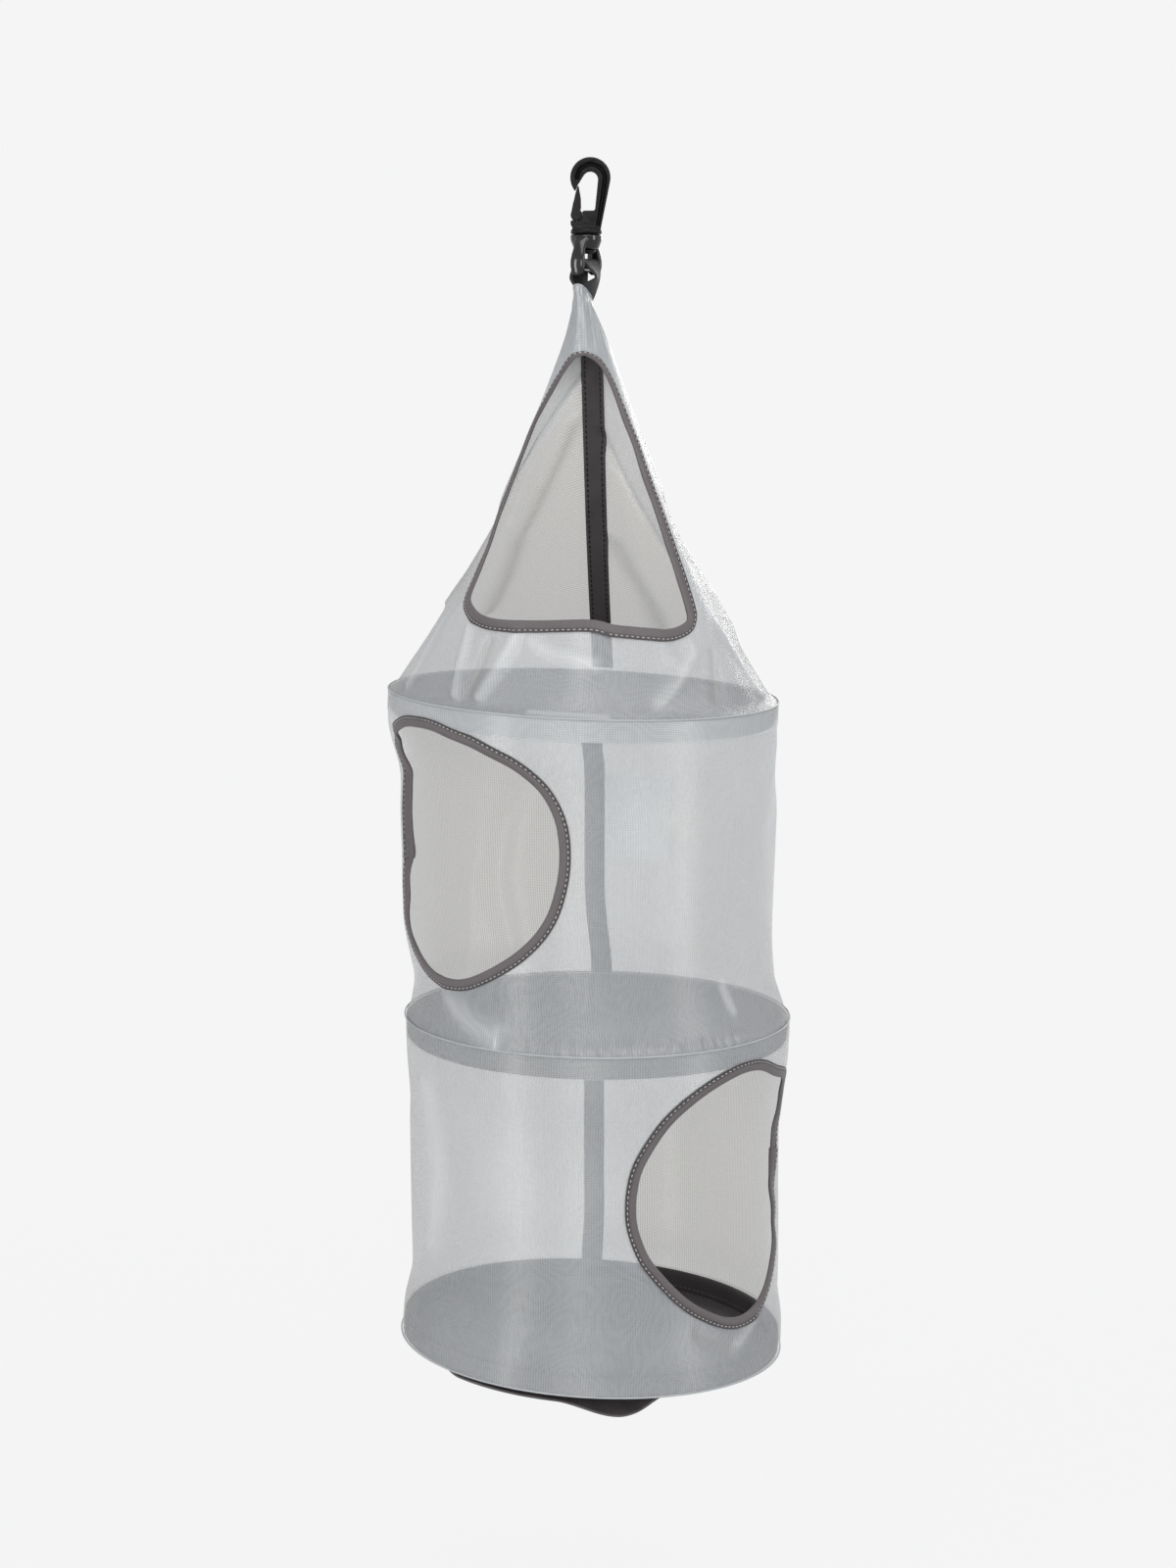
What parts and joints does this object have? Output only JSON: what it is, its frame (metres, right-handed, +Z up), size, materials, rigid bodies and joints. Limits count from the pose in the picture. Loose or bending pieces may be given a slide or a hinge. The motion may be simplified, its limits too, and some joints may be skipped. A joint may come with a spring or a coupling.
{
  "type": "hanging tent organizer",
  "caption": "Hanging mesh organizer for a tent: stacked shelves on wire hoops, each tier with a bound window, that folds flat under a plastic swivel snap hook.",
  "frame": {"origin": "the inner surface of the hook's crown, where it sits on whatever the organizer hangs from", "axes": "+Z up along the hanging organizer, +X to the viewer's right, -Y towards the viewer and the spire's window"},
  "size_m": [0.2097, 0.2018, 0.6319],
  "materials": {
    "hook_plastic": "satin",
    "webbing": "matte",
    "mesh_cloth": "matte",
    "window_tape": "matte",
    "dark_tape": "matte",
    "floor_fabric": "matte",
    "band_elastic": "matte",
    "label_satin": "satin",
    "spring_steel": "satin"
  },
  "bodies": {
    "hook": {"hook_body": "hook_plastic"},
    "gate": {"hook_gate": "hook_plastic"},
    "swivel": {"swivel_base": "hook_plastic"},
    "spire": {"hanger_loop": "webbing", "spire_mesh": "mesh_cloth", "spire_window_binding": "window_tape", "spire_seam_tape": "dark_tape"},
    "top_tier": {"top_hoop": "spring_steel", "top_hoop_ferrule": "spring_steel", "top_hoop_tape": "dark_tape", "top_floor": "floor_fabric", "middle_mesh": "mesh_cloth", "middle_window_binding": "window_tape", "middle_seam_tape": "dark_tape", "care_label": "label_satin"},
    "middle_tier": {"middle_hoop": "spring_steel", "middle_hoop_ferrule": "spring_steel", "middle_hoop_tape": "dark_tape", "middle_floor": "floor_fabric", "lower_mesh": "mesh_cloth", "lower_window_binding": "window_tape", "lower_seam_tape": "dark_tape"},
    "bottom_tier": {"bottom_hoop": "spring_steel", "bottom_hoop_ferrule": "spring_steel", "bottom_hoop_tape": "dark_tape", "bottom_floor": "floor_fabric", "storage_band": "band_elastic"}
  },
  "joints": [
    {"name": "gate_flex", "type": "hinge", "parent": "hook", "child": "gate", "pos_m": [-0.007, 0, -0.0217], "axis": [0, 1, 0], "range_deg": [0, 22], "stiffness_Nm_per_rad": 0.15, "springref_deg": -5.73},
    {"name": "hook_swivel", "type": "hinge", "parent": "hook", "child": "swivel", "pos_m": [-0.0021, 0, -0.035], "axis": [0, 0, 1], "continuous": true},
    {"name": "loop_swing", "type": "hinge", "parent": "swivel", "child": "spire", "pos_m": [-0.0021, 0, -0.0473], "axis": [0.342, 0.9397, 0], "range_deg": [-60, 60]},
    {"name": "top_collapse", "type": "slide", "parent": "spire", "child": "top_tier", "axis": [0, 0, 1], "range_m": [0, 0.17], "deforming": ["spire_mesh", "spire_window_binding", "spire_seam_tape"]},
    {"name": "middle_collapse", "type": "slide", "parent": "top_tier", "child": "middle_tier", "axis": [0, 0, 1], "range_m": [0, 0.147], "deforming": ["middle_mesh", "middle_window_binding", "middle_seam_tape", "care_label"]},
    {"name": "bottom_collapse", "type": "slide", "parent": "middle_tier", "child": "bottom_tier", "axis": [0, 0, 1], "range_m": [0, 0.142], "deforming": ["lower_mesh", "lower_window_binding", "lower_seam_tape"]}
  ]
}
